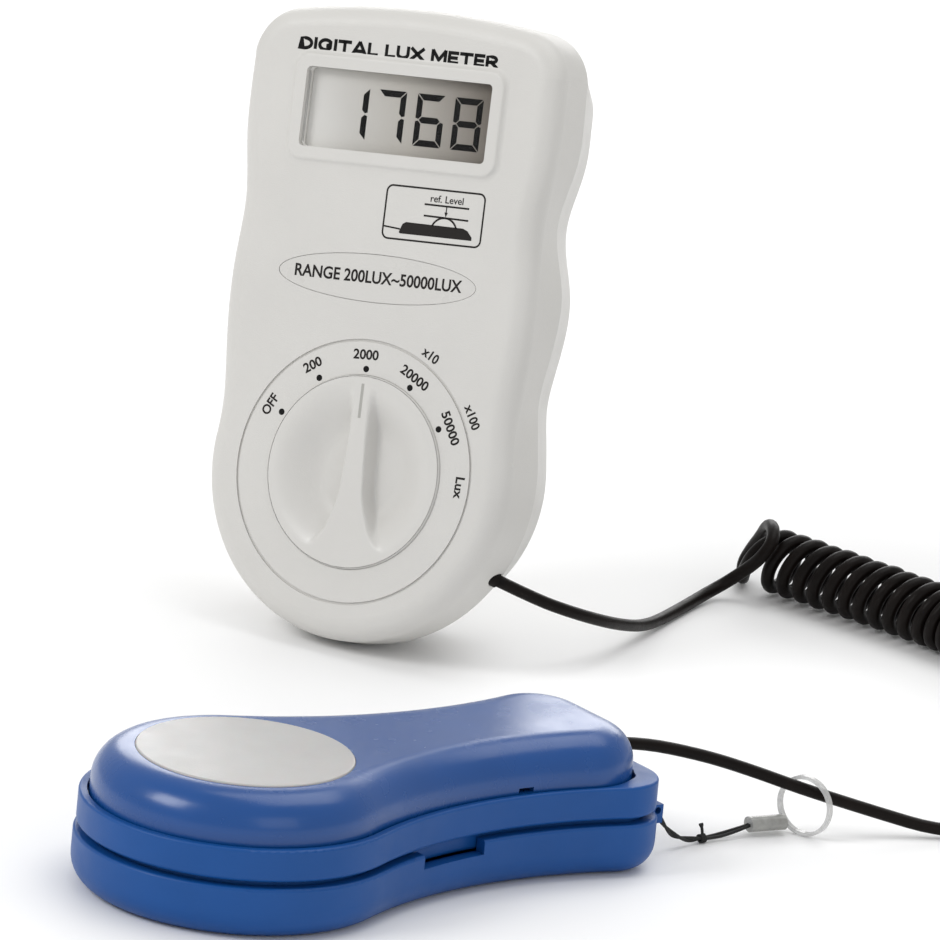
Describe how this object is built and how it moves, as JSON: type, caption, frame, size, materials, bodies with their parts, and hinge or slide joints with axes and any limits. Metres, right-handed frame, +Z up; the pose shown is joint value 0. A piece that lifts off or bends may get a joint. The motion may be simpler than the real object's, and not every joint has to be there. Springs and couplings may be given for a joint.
{
  "type": "handheld light meter",
  "caption": "Handheld light meter leaning back on its lower edge, with a display and a range dial, and a spoon-shaped light sensor standing in its cap, joined by a curly lead.",
  "frame": {"origin": "on the table, under the middle of the box round the meter and the sensor, the lead left out", "axes": "+Z up; the meter's face looks towards -Y and leans back; the sensor stands in front of it, its long axis 67 degrees from +X towards +Y"},
  "size_m": [0.2067, 0.2669, 0.1156],
  "materials": {
    "case_plastic": "fine satin texture, warm light grey",
    "clear_lens": "clear polished acrylic",
    "lcd": "silver-grey reflective display glass",
    "white_plastic": "smooth moulded",
    "contact_rubber": "soft layered silicone",
    "circuit_board": "glass-fibre board with green solder mask",
    "steel": "zinc plated",
    "chip_plastic": "moulded black",
    "trim_plastic": "moulded blue",
    "label_film": "printed film",
    "battery_jacket": "printed steel jacket",
    "nickel": "nickel plated",
    "lead_vinyl": "red and black insulated wire",
    "black_rubber": "smooth semi-gloss black",
    "sensor_plastic": "polished royal blue",
    "cap_plastic": "satin royal blue",
    "cord_fabric": "twisted black thread",
    "clear_plastic": "clear moulded",
    "pointer_paint": "grey printed line",
    "contact_brass": "sprung, polished by wear",
    "diffuser": "opal white",
    "filter_glass": "green tinted optical glass",
    "diode_black": "dark silicon window in a black frame"
  },
  "bodies": {
    "base": {"front_shell": "case_plastic", "rear_shell": "case_plastic", "display_lens": "clear_lens", "lcd_glass": "lcd", "lcd_frame": "white_plastic", "contact_strips": "contact_rubber", "main_board": "circuit_board", "board_screws": "steel", "meter_chip": "chip_plastic", "trim_pots": "trim_plastic", "range_label": "label_film", "case_screws": "steel", "battery": "battery_jacket", "battery_terminals": "nickel", "battery_snap": "chip_plastic", "battery_leads": "lead_vinyl", "meter_bushing": "black_rubber", "meter_cable": "black_rubber", "curly_cord": "black_rubber", "sensor_cable": "black_rubber", "sensor_cap": "cap_plastic", "lanyard": "cord_fabric", "crimp_sleeve": "clear_plastic", "cable_ring": "clear_plastic"},
    "dial": {"dial_knob": "case_plastic", "dial_pointer": "pointer_paint", "switch_rotor": "white_plastic", "wiper_contacts": "contact_brass", "detent_balls": "nickel", "detent_springs": "steel"},
    "battery_cover": {"battery_door": "case_plastic"},
    "sensor_head": {"sensor_top_shell": "sensor_plastic", "sensor_bottom_shell": "cap_plastic", "light_diffuser": "diffuser", "colour_filter": "filter_glass", "filter_holder": "chip_plastic", "photodiode": "diode_black", "sensor_board": "circuit_board", "sensor_screws": "steel", "sensor_bushing": "black_rubber"}
  },
  "joints": [
    {"name": "dial_turn", "type": "hinge", "parent": "base", "child": "dial", "pos_m": [-0.03487, 0.06074, 0.03304], "axis": [0, -0.9608, 0.2773], "range_deg": [-60, 60]},
    {"name": "battery_cover_slide", "type": "slide", "parent": "base", "child": "battery_cover", "axis": [0.1271, -0.2751, -0.953], "range_m": [0, 0.014]},
    {"name": "sensor_lift", "type": "slide", "parent": "base", "child": "sensor_head", "axis": [0, 0, 1], "range_m": [0, 0.03], "deforming": ["sensor_cable"]}
  ]
}
